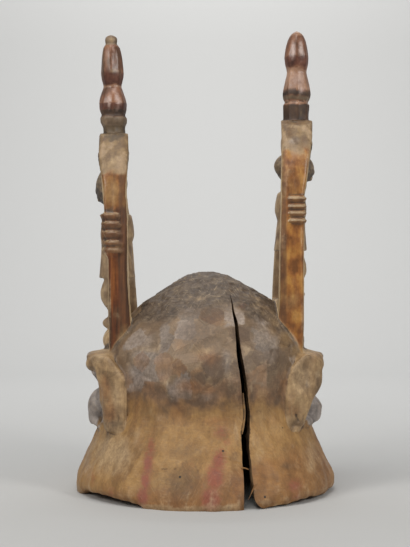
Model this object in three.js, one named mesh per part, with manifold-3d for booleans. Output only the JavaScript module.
// Crest mask carved from one block of wood, in millimetres, +Z up.
// A hollow helmet head flares into a skirt at the bottom and comes to a blunt cone at the top.
// Over each ear stands a tall leaf-shaped frame that ends in a bulbous finial, and in each frame
// a small figure faces outwards, gripping the frame's two edges.
// The face looks along +Y, the cracked back along -Y, and the origin is on the ground at the middle.
import * as THREE from "three";
import { mergeVertices } from "three/addons/utils/BufferGeometryUtils.js";
import Module from "manifold-3d";

const wasm = await Module();
wasm.setup();

// Helmet outline as [height, half size]: half width in X, and depth from the middle to back and face.
const CROWN = 226.5;
const HALF_WIDTH = [
  [0, 133], [6, 135.4], [15, 134.5], [28, 129], [48, 119.5], [68, 111], [95, 104.5], [135, 105.5], [150, 103],
  [165, 95], [180, 84], [192, 72.5], [200, 61], [206, 51], [213, 40], [219, 29.5], [223, 22], [CROWN, 8],
];
const BACK_DEPTH = [
  [0, 147], [6, 150], [15, 148], [29, 141], [48, 129], [68, 118], [88, 111.5], [115, 114.5],
  [135, 113], [150, 107], [165, 97], [180, 83], [194, 66], [206, 50], [214, 38], [220, 28], [223, 21], [CROWN, 8],
];
const FACE_DEPTH = [
  [0, 147], [6, 150], [15, 148], [29, 141], [48, 130], [60, 124], [75, 118], [95, 113.5],
  [135, 113], [150, 110], [165, 101], [180, 87], [194, 69], [206, 51], [214, 38], [220, 28], [223, 21], [CROWN, 8],
];
// The cone's tip stands a little to the right of the middle.
const LEAN = [[140, 0], [195, 4.5], [CROWN, 2]];
const HELMET_SIDES = 32;
const HELMET_HEIGHTS = [0, 6, 15, 29, 42, 56, 70, 84, 100, 116, 134, 148, 160, 172, 184, 196, 206, 215, 222, CROWN];

// Hollow for the wearer's head, as half width and half depth, ending in a small flat at the crown.
const HOLLOW_FLOOR = -6;
const HOLLOW_TOP = 186;
const HOLLOW_WIDTH = [[0, 113], [20, 112], [60, 91], [95, 79], [140, 78], [160, 64], [176, 44], [HOLLOW_TOP, 20]];
const HOLLOW_DEPTH = [[0, 127], [20, 126], [60, 102], [95, 92], [140, 90], [160, 74], [176, 51], [HOLLOW_TOP, 22]];
const HOLLOW_HEIGHTS = [HOLLOW_FLOOR, 16, 38, 62, 90, 135, 153, 166, 177, HOLLOW_TOP];
const HOLLOW_SIDES = 24;

// How far the rim rises off the ground by direction in degrees, 0 at the right and -90 at the back.
const RIM_RISE = [
  [-180, 0], [-166, 0], [-156, 4], [-148, 6.4], [-134, 5.9], [-124, 5.5], [-121, 4], [-114, 0], [-68, 0],
  [-62, 1.7], [-52, 1.8], [-44, 4.4], [-34, 3.2], [-22, 2], [-8, 3], [4, 2], [16, 0], [28, 0],
  [44, 2.6], [58, 2.8], [74, 0], [110, 0], [130, 3.5], [150, 2.4], [168, 0], [180, 0],
];
const RIM_RISE_TOP = 30;

// Drying crack down the back, as the X of its left and right lips at the surface against height.
const CRACK_LEFT = [
  [-8, 37.4], [32, 36.8], [62, 35.5], [73, 35.9], [87, 37.5], [101, 36.1], [116, 35], [130, 33.3], [145, 31.2],
  [159, 30.4], [174, 29.4], [188, 27.1], [203, 25.1],
];
const CRACK_RIGHT = [
  [-8, 66], [0, 58], [3, 53], [8, 49.3], [14, 47.4], [19, 46.9], [32, 45.5], [45, 44.3], [62, 43.3], [73, 44.3],
  [87, 44.5], [101, 42.7], [116, 41.3], [130, 39.2], [145, 36.4], [159, 34.4], [174, 33.1], [188, 29.1], [203, 25.6],
];
// How far the crack goes in from the surface, and how much it leans to the middle on the way.
const CRACK_DEPTH = [[-8, 70], [140, 62], [186, 30], [203, 8]];
const CRACK_SLANT = 0.1;
const CRACK_HEIGHTS = [-8, 0, 7, 18, 40, 62, 87, 116, 145, 174, 189, 203];

// Leaf-shaped frame over each ear: half depth in Y and the edge's thickness, by height.
const FRAME_FOOT = 122;
const FRAME_TOP = 386;
const FRAME_DEPTH = [
  [122, 44], [150, 50], [200, 53], [250, 52], [300, 47], [330, 42], [350, 35], [366, 26], [378, 18], [386, 14],
];
const FRAME_EDGE = [[122, 18], [250, 18], [310, 16], [340, 15], [366, 24]];
// The frame is turned a little, so its face-side pole stands further out towards the top.
const FRAME_TURN = [[122, -3], [195, -2.5], [243, -1], [280, 1.5], [310, 5], [360, 4], [386, 1]];
const FRAME_CHAMFER = 2.5;
const FRAME_STEPS = 13;

// What differs from one side to the other: the frame's inner and outer face in X by height, the figure's heights
// and reach, how far the sill under its feet stands out, and the finial as [height, radius].
const SIDES = [
  {
    side: -1, finialX: 99, top: 372, opening: [168, 350], ledge: 20,
    inner: [[122, 74], [177, 76], [223, 78.4], [295, 80], [310, 80.7], [350, 79.7], [372, 80.5]],
    outer: [[122, 86], [136, 94], [152, 98.5], [250, 99.4], [295, 104], [331, 107.5], [352, 110], [372, 110]],
    chin: 295, crown: 338, face: 118, nape: 85, hand: [249, 292], knuckle: 5.5,
    belly: 111.5, back: 74, hem: 220, knee: 203, kneeX: 110, sole: 170,
    finial: [
      [372, 12.5], [381, 12.5], [382, 13.8], [390, 13.9], [391, 10.5], [397, 13.6], [404.5, 14.4], [413, 12.8],
      [422, 9.7], [429, 11.2], [436, 12], [447, 10.6], [465, 7.2], [466.5, 4.8], [470, 5.8], [474.5, 4.4], [476.5, 1],
    ],
  },
  {
    side: 1, finialX: 97, top: 386, opening: [198, 362], ledge: 17,
    inner: [[122, 73.5], [198, 75.9], [269, 77.1], [321, 78.7], [386, 80.2]],
    outer: [
      [122, 86], [136, 96], [152, 101], [300, 101.8], [321, 105], [352, 109.2], [372, 112], [386, 112.9],
    ],
    chin: 318, crown: 353, face: 118, nape: 76, hand: [277, 306], knuckle: 1.2,
    belly: 107.5, back: 73, hem: 249, knee: 229, kneeX: 107, sole: 200,
    finial: [
      [386, 13], [404, 13.6], [405, 11], [409, 13.4], [414.5, 14.7], [424, 12.6], [438, 10], [444, 11.8],
      [451, 12.4], [461, 11.2], [472, 8.6], [477, 6], [480, 3], [481, 0.8],
    ],
  },
];
const FINIAL_SIDES = 8;
const FINIAL_ROOT = 14;
const LEDGE = { x: 88, z: 155, half: [40, 16] };

// Figure's own measures: body half width in Y and its limbs.
const BODY_HALF = 20;
const LEG_SPREAD = 10;
const LEG_RADIUS = 8.5;
const ARM_RADIUS = 6.5;
const FINGERS = 4;
const FINGER_LENGTH = 17;
const FINGER_PROUD = 2.6;

// Ear of the helmet: middle and half sizes of its oval wall, seen from the side.
const EAR = { y: -25, z: 103, halfDepth: 34, halfHeight: 40, wall: 9, root: 82, splay: 8, squareness: 0.55 };
// Height of the ear's rim in X by direction, 0 degrees at the face side and 90 at the top, with a notch at 350.
const EAR_RIM = [
  [0, 112], [15, 121], [45, 124.5], [90, 123], [125, 119.5], [150, 113.5], [180, 107.5], [210, 103], [235, 103],
  [270, 112], [300, 122], [322, 124.5], [338, 122], [350, 112], [360, 112],
];
const EAR_STEPS = 24;
const CONCHA = { x: 112, half: [15, 22, 30] };

// Face on the front, by height.
const CHEEKS = { y: 50, z: 108, half: [80, 71, 50] };
const MUZZLE = { y: 112, z: 80, half: [36, 20, 28] };
const EYE = { x: 39, z: 136, half: [21, 9, 8.5] };
const BROW = { z: 149, reach: 68, radius: 5 };
const NOSE = { bridge: 147, base: 105, proud: 19, wing: [8, 9, 7] };
const MOUTH = { z: 86, half: 25, radius: 5.5, gap: 9 };
const CHIN = { z: 64, half: [23, 9, 10] };

const WOOD = 0x8a6645;

// Smooth curve through [x, value] pairs, which keeps between neighbouring values.
function curve(pairs) {
  const last = pairs.length - 1;
  const slope = pairs.slice(1).map(([x, v], i) => (v - pairs[i][1]) / (x - pairs[i][0]));
  const tangent = pairs.map((_, i) => {
    const before = slope[Math.max(i - 1, 0)];
    const after = slope[Math.min(i, last - 1)];
    return before * after <= 0 ? 0 : (2 * before * after) / (before + after);
  });
  return (x) => {
    if (x <= pairs[0][0]) return pairs[0][1];
    if (x >= pairs[last][0]) return pairs[last][1];
    const i = pairs.findIndex(([end], k) => k > 0 && x <= end) - 1;
    const span = pairs[i + 1][0] - pairs[i][0];
    const t = (x - pairs[i][0]) / span;
    const rise = pairs[i + 1][1] - pairs[i][1];
    const start = tangent[i] * span;
    const end = tangent[i + 1] * span;
    return pairs[i][1] + t * (start + t * (3 * rise - 2 * start - end + t * (start + end - 2 * rise)));
  };
}

const radians = THREE.MathUtils.degToRad;
const spread = (from, to, steps) => Array.from({ length: steps + 1 }, (_, i) => from + ((to - from) * i) / steps);
const turns = (sides) => spread(0, 2 * Math.PI, sides).slice(0, -1);

// Geometry of rows of points: each row is a closed ring, and the rows are capped, or joined end to end.
function skin(rows, endless = false) {
  const sides = rows[0].length;
  const points = rows.flat();
  const faces = [];
  const bands = endless ? rows.length : rows.length - 1;
  for (let r = 0; r < bands; r++) {
    const above = (r + 1) % rows.length;
    for (let s = 0; s < sides; s++) {
      const next = (s + 1) % sides;
      const [a, b] = [r * sides + s, r * sides + next];
      const [c, d] = [above * sides + next, above * sides + s];
      faces.push(a, b, c, a, c, d);
    }
  }
  if (!endless) {
    for (const [row, first] of [[0, true], [rows.length - 1, false]]) {
      const centre = points.length;
      points.push(rows[row].reduce((sum, p) => sum.add(p), new THREE.Vector3()).divideScalar(sides));
      for (let s = 0; s < sides; s++) {
        const [a, b] = [row * sides + s, row * sides + ((s + 1) % sides)];
        faces.push(...(first ? [centre, b, a] : [centre, a, b]));
      }
    }
  }
  const geometry = new THREE.BufferGeometry().setFromPoints(points);
  geometry.setIndex(faces);
  return geometry;
}

// Closed geometry as a solid, turned to face outwards.
function solid(geometry) {
  const bare = geometry.clone();
  bare.deleteAttribute("normal");
  bare.deleteAttribute("uv");
  const merged = mergeVertices(bare, 1e-4);
  const vertProperties = new Float32Array(merged.attributes.position.array);
  const triVerts = new Uint32Array(merged.index.array);
  const made = new wasm.Manifold(new wasm.Mesh({ numProp: 3, vertProperties, triVerts }));
  if (made.volume() > 0) return made;
  return new wasm.Manifold(new wasm.Mesh({ numProp: 3, vertProperties, triVerts: triVerts.reverse() }));
}

const joined = (solids) => solids.reduce((whole, one) => whole.add(one));

// Level ring of an oval whose half depth may differ between face and back.
function oval(halfWidth, faceDepth, backDepth, height, sides) {
  return turns(sides).map((angle) => {
    const depth = Math.sin(angle) > 0 ? faceDepth : backDepth;
    return new THREE.Vector3(halfWidth * Math.cos(angle), depth * Math.sin(angle), height(angle));
  });
}

function ball(middle, half, across = 12, down = 8) {
  return solid(new THREE.SphereGeometry(1, across, down).scale(...half).translate(...middle));
}

// Round limb along stations of [x, y, z, half height, half breadth], the breadth lying along a given direction.
function limb(stations, sides = 7, breadth = new THREE.Vector3(1, 0, 0)) {
  const places = stations.map(([x, y, z]) => new THREE.Vector3(x, y, z));
  return solid(skin(stations.map(([, , , tall, broad], i) => {
    const along = places[Math.min(i + 1, places.length - 1)].clone().sub(places[Math.max(i - 1, 0)]).normalize();
    const rise = along.clone().cross(breadth).normalize();
    const level = rise.clone().cross(along);
    return turns(sides).map((angle) => places[i].clone()
      .addScaledVector(level, broad * Math.cos(angle)).addScaledVector(rise, tall * Math.sin(angle)));
  })));
}

function rimRise(angle) {
  const degrees = THREE.MathUtils.radToDeg(angle);
  return curve(RIM_RISE)(degrees > 180 ? degrees - 360 : degrees);
}

function helmet() {
  const [width, face, back, lean] = [HALF_WIDTH, FACE_DEPTH, BACK_DEPTH, LEAN].map(curve);
  const height = (z) => (angle) => z + rimRise(angle) * Math.max(0, 1 - z / RIM_RISE_TOP);
  const level = (z, size) => oval(size * width(z), size * face(z), size * back(z), height(z), HELMET_SIDES)
    .map((point) => point.setX(point.x + lean(z)));
  // The first row lies inside the hollow, so that the rim's underside stays level across its width.
  return solid(skin([level(0, 0.5), ...HELMET_HEIGHTS.map((z) => level(z, 1))]));
}

function hollow() {
  const [width, depth] = [HOLLOW_WIDTH, HOLLOW_DEPTH].map(curve);
  return solid(skin(HOLLOW_HEIGHTS.map((z) => oval(width(z), depth(z), depth(z), () => z, HOLLOW_SIDES))));
}

function crack() {
  const [left, right, deep, back] = [CRACK_LEFT, CRACK_RIGHT, CRACK_DEPTH, BACK_DEPTH].map(curve);
  return solid(skin(CRACK_HEIGHTS.map((z) => {
    const surface = -back(z) * Math.sqrt(1 - (left(z) / curve(HALF_WIDTH)(z)) ** 2);
    const at = (x, y) => new THREE.Vector3(x - CRACK_SLANT * (y - surface), y, z);
    const [outer, inner] = [surface - 15, surface + deep(z)];
    return [at(left(z), outer), at(right(z), outer), at(right(z), inner), at(left(z), inner)];
  })));
}

function ear(side) {
  const rim = curve(EAR_RIM);
  const rows = spread(0, 360, EAR_STEPS).slice(0, -1).map((degrees) => {
    const [c, s] = [Math.cos(radians(degrees)), Math.sin(radians(degrees))].map((v) =>
      Math.sign(v) * Math.abs(v) ** EAR.squareness);
    const height = rim(degrees);
    const at = (x, inset) => new THREE.Vector3(side * x,
      EAR.y + (EAR.halfDepth - inset) * c, EAR.z + (EAR.halfHeight - inset) * s);
    return [
      at(EAR.root, -EAR.splay), at(height - 3, 0), at(height, 3),
      at(height - 1, EAR.wall - 2), at(EAR.root, EAR.wall + 5),
    ];
  });
  return solid(skin(rows, true));
}

function concha(side) {
  return ball([side * CONCHA.x, EAR.y, EAR.z], CONCHA.half, 10, 8);
}

function frameSection(z, { side, inner: innerFace, outer: outerEdge }, depth) {
  const [inner, outer, turn] = [innerFace, outerEdge, FRAME_TURN].map((pairs) => curve(pairs)(z));
  const cut = FRAME_CHAMFER;
  const half = [[outer, -depth + cut], [outer - cut, -depth], [inner + 2 * cut, -depth], [inner, -depth + cut]];
  const faceHalf = half.map(([x, y]) => [x + turn, -y]).reverse();
  return [...half, ...faceHalf].map(([x, y]) => new THREE.Vector3(side * x, y, z));
}

function frame(spec) {
  const { side, top, opening } = spec;
  const [depth, edge] = [curve(FRAME_DEPTH), curve(FRAME_EDGE)];
  const lowered = top - FRAME_TOP;
  const drop = (z) => z - Math.min(0, lowered) * Math.max(0, (z - FRAME_DEPTH[4][0]) / (top - FRAME_DEPTH[4][0]));
  const body = spread(FRAME_FOOT, top, FRAME_STEPS).map((z) => frameSection(z, spec, depth(drop(z))));
  const [sill, lintel] = opening;
  const window = spread(sill, lintel, 10).map((z) => {
    const half = Math.max(3, depth(drop(z)) - edge(drop(z)));
    return [[60, -half], [130, -half], [130, half], [60, half]].map(([x, y]) => new THREE.Vector3(side * x, y, z));
  });
  return solid(skin(body)).subtract(solid(skin(window)));
}

function finial({ side, finialX, finial: profile }) {
  const [root] = profile;
  const outline = [[0, root[0] - FINIAL_ROOT], [root[1] - 1, root[0] - FINIAL_ROOT],
    ...profile.map(([z, r]) => [r, z]), [0, profile.at(-1)[0] + 0.5]].map(([r, z]) => new THREE.Vector2(r, z));
  return solid(new THREE.LatheGeometry(outline, FINIAL_SIDES).rotateX(Math.PI / 2).translate(side * finialX, 0, 0));
}

// Sill that bulges out under the figure's feet.
function sill({ side, ledge }) {
  return ball([side * LEDGE.x, 0, LEDGE.z], [ledge, ...LEDGE.half]);
}

// X of the frame's outer face at a height, on the edge (-1 back, 1 face side).
function outerFace({ outer }, z, edge) {
  return curve(outer)(z) + (edge > 0 ? curve(FRAME_TURN)(z) : 0);
}

function fingers(spec, edge) {
  const { side, hand: [low, high], knuckle } = spec;
  const pitch = (high - low) / FINGERS;
  const depth = curve(FRAME_DEPTH);
  return spread(0, FINGERS - 1, FINGERS - 1).map((k) => {
    const z = low + pitch * (k + 0.5);
    const [x, y] = [outerFace(spec, z, edge), depth(z)];
    const tall = pitch * 0.44;
    return limb([
      [side * (x + knuckle - 2), edge * (y - 9), z + 0.5, tall, 3.8],
      [side * (x - 2), edge * (y + 0.4), z, tall, FINGER_PROUD + 0.8],
      [side * (x - FINGER_LENGTH + 3), edge * y, z, tall * 0.8, FINGER_PROUD],
      [side * (x - FINGER_LENGTH), edge * y, z, tall * 0.35, 1],
    ], 5, new THREE.Vector3(side * 0.3, edge, 0));
  });
}

function arm(spec, edge) {
  const { side, chin, hand: [low, high], knuckle } = spec;
  const wrist = (low + high) / 2;
  const y = curve(FRAME_DEPTH)(wrist) - 12;
  const x = outerFace(spec, wrist, edge) + knuckle - 5;
  const palm = (high - low) / 2;
  return limb([
    [side * 92, edge * (BODY_HALF - 5), chin - 6, ARM_RADIUS, ARM_RADIUS],
    [side * 98, edge * (BODY_HALF + 3), wrist - palm * 0.2, ARM_RADIUS, ARM_RADIUS],
    [side * (x + 0.5), edge * (y - 6), wrist - 2, palm * 0.7, 5],
    [side * (x + 1), edge * y, wrist, palm * 0.95, 5.5],
    [side * (x + 1), edge * (y + 8), wrist, palm * 0.95, 5],
  ], 6);
}

function head({ side, chin, crown, face, nape }) {
  const [middle, half] = [(chin + crown) / 2, (crown - chin) / 2];
  const x = (z) => side * z;
  const centre = (face + nape) / 2 - 1.5;
  const reach = (face - nape) / 2 - 1;
  const parts = [
    ball([x(centre), 0, middle], [reach, half * 0.8, half], 10, 8),
    ball([x(centre + reach * 0.86), 0, middle - half * 0.2], [reach * 0.22, half * 0.18, half * 0.27], 6, 4),
    ball([x(centre + reach * 0.72), 0, middle - half * 0.56], [reach * 0.22, half * 0.34, half * 0.13], 6, 3),
  ];
  for (const edge of [-1, 1]) {
    const lid = [reach * 0.2, half * 0.22, half * 0.13];
    parts.push(ball([x(centre + reach * 0.74), edge * half * 0.36, middle], lid, 6, 3));
    parts.push(ball([x(centre - 2), edge * half * 0.8, middle - half * 0.08], [3, 2.4, half * 0.26], 5, 4));
  }
  return joined(parts);
}

function figure(spec) {
  const { side, chin, belly, back, hem, knee, kneeX, sole } = spec;
  const x = (value) => side * value;
  const middle = (belly + back) / 2;
  const half = (belly - back) / 2;
  const ring = ([z, deep, broad, shift]) => turns(10).map((angle) =>
    new THREE.Vector3(x(middle + shift + deep * Math.cos(angle)), broad * Math.sin(angle), z));
  const waist = (chin + hem) / 2 - 4;
  const body = [
    [chin + 6, 8, 8, 4], [chin - 4, 9, 9, 2], [chin - 9, half * 0.8, BODY_HALF, 0],
    [waist + 12, half * 0.95, BODY_HALF * 0.85, 0], [waist, half * 0.85, BODY_HALF * 0.72, 1],
    [hem, half * 1.02, BODY_HALF, 0],
  ].map(ring);
  const parts = [solid(skin(body)), head(spec)];
  for (const edge of [-1, 1]) {
    const y = edge * LEG_SPREAD;
    parts.push(limb([
      [x(middle), y, hem + 8, LEG_RADIUS, LEG_RADIUS],
      [x(kneeX - LEG_RADIUS), y, knee, LEG_RADIUS, LEG_RADIUS],
      [x(middle + 2), y, (knee + sole) / 2, LEG_RADIUS * 0.85, LEG_RADIUS * 0.85],
      [x(middle + 2), y, sole - 4, 7, 7],
    ], 6));
    parts.push(ball([x(middle + 3), y, sole + 3], [12, 7, 7], 8, 4));
    parts.push(arm(spec, edge), ...fingers(spec, edge));
  }
  return joined(parts);
}

function face() {
  const [depth, width] = [FACE_DEPTH, HALF_WIDTH].map(curve);
  const bulge = ({ y, z: middle, half: [a, b, c] }, x, z) => {
    const left = 1 - (x / a) ** 2 - ((z - middle) / c) ** 2;
    return left > 0 ? y + b * Math.sqrt(left) : 0;
  };
  const onFace = (x, z) => Math.max(bulge(CHEEKS, x, z), bulge(MUZZLE, x, z) - 0.5,
    depth(z) * Math.sqrt(1 - (x / width(z)) ** 2));
  const tip = onFace(0, NOSE.base) + NOSE.proud;
  const parts = [
    ball([0, CHEEKS.y, CHEEKS.z], CHEEKS.half, 14, 8),
    ball([0, MUZZLE.y, MUZZLE.z], MUZZLE.half, 10, 8),
    limb([
      [0, onFace(0, NOSE.bridge) - 3, NOSE.bridge, 5, 6], [0, onFace(0, 128) + 2, 128, 7, 7],
      [0, tip - 10, 114, 9, 9], [0, tip - 10, NOSE.base + 2, 10, 9], [0, tip - 12, NOSE.base - 1, 6, 7],
    ], 7),
    ball([0, onFace(0, CHIN.z) - 2, CHIN.z], CHIN.half, 8, 5),
    ball([0, onFace(0, MOUTH.z) - 1, MOUTH.z], [MOUTH.half * 0.9, 6, MOUTH.gap * 0.8], 8, 4),
  ];
  for (const edge of [-1, 1]) {
    parts.push(ball([edge * 11, tip - 14, NOSE.base + 3], NOSE.wing, 6, 4));
    parts.push(ball([edge * EYE.x, onFace(EYE.x, EYE.z), EYE.z], EYE.half, 8, 6));
    parts.push(limb(spread(0, 1, 4).map((t) => {
      const x = edge * BROW.reach * t;
      const z = BROW.z + 5 * Math.sin(Math.PI * t) - 3 * t;
      return [x, onFace(x, z), z, BROW.radius, BROW.radius * (1 - 0.4 * t)];
    }), 5, new THREE.Vector3(0, 1, 0)));
    parts.push(limb(spread(-1, 1, 4).map((t) => {
      const x = MOUTH.half * t;
      const z = MOUTH.z + edge * (MOUTH.gap / 2) * (1 - t * t);
      return [x, onFace(x, z) + 3 * (1 - t * t), z, MOUTH.radius * (1 - 0.5 * t * t), MOUTH.radius];
    }), 5, new THREE.Vector3(0, 1, 0)));
  }
  return joined(parts);
}

function mask() {
  const outside = joined([
    helmet(),
    face(),
    ...SIDES.flatMap((spec) => [ear(spec.side), frame(spec), sill(spec), finial(spec), figure(spec)]),
  ]);
  return outside
    .subtract(concha(-1))
    .subtract(concha(1))
    .subtract(hollow())
    .subtract(crack());
}

function toMesh(name, made, material) {
  const { numProp, numVert, vertProperties, triVerts } = made.getMesh();
  const positions = new Float32Array(numVert * 3);
  for (let i = 0; i < numVert; i++) positions.set(vertProperties.subarray(i * numProp, i * numProp + 3), i * 3);
  const geometry = new THREE.BufferGeometry();
  geometry.setAttribute("position", new THREE.BufferAttribute(positions, 3));
  geometry.setIndex(new THREE.BufferAttribute(triVerts, 1));
  geometry.computeVertexNormals();
  const mesh = new THREE.Mesh(geometry, material);
  mesh.name = name;
  return mesh;
}

const crestMask = new THREE.Group();
crestMask.add(toMesh("crest_mask", mask(),
  new THREE.MeshStandardMaterial({ color: WOOD, roughness: 0.62, metalness: 0, flatShading: true })));

export default crestMask;
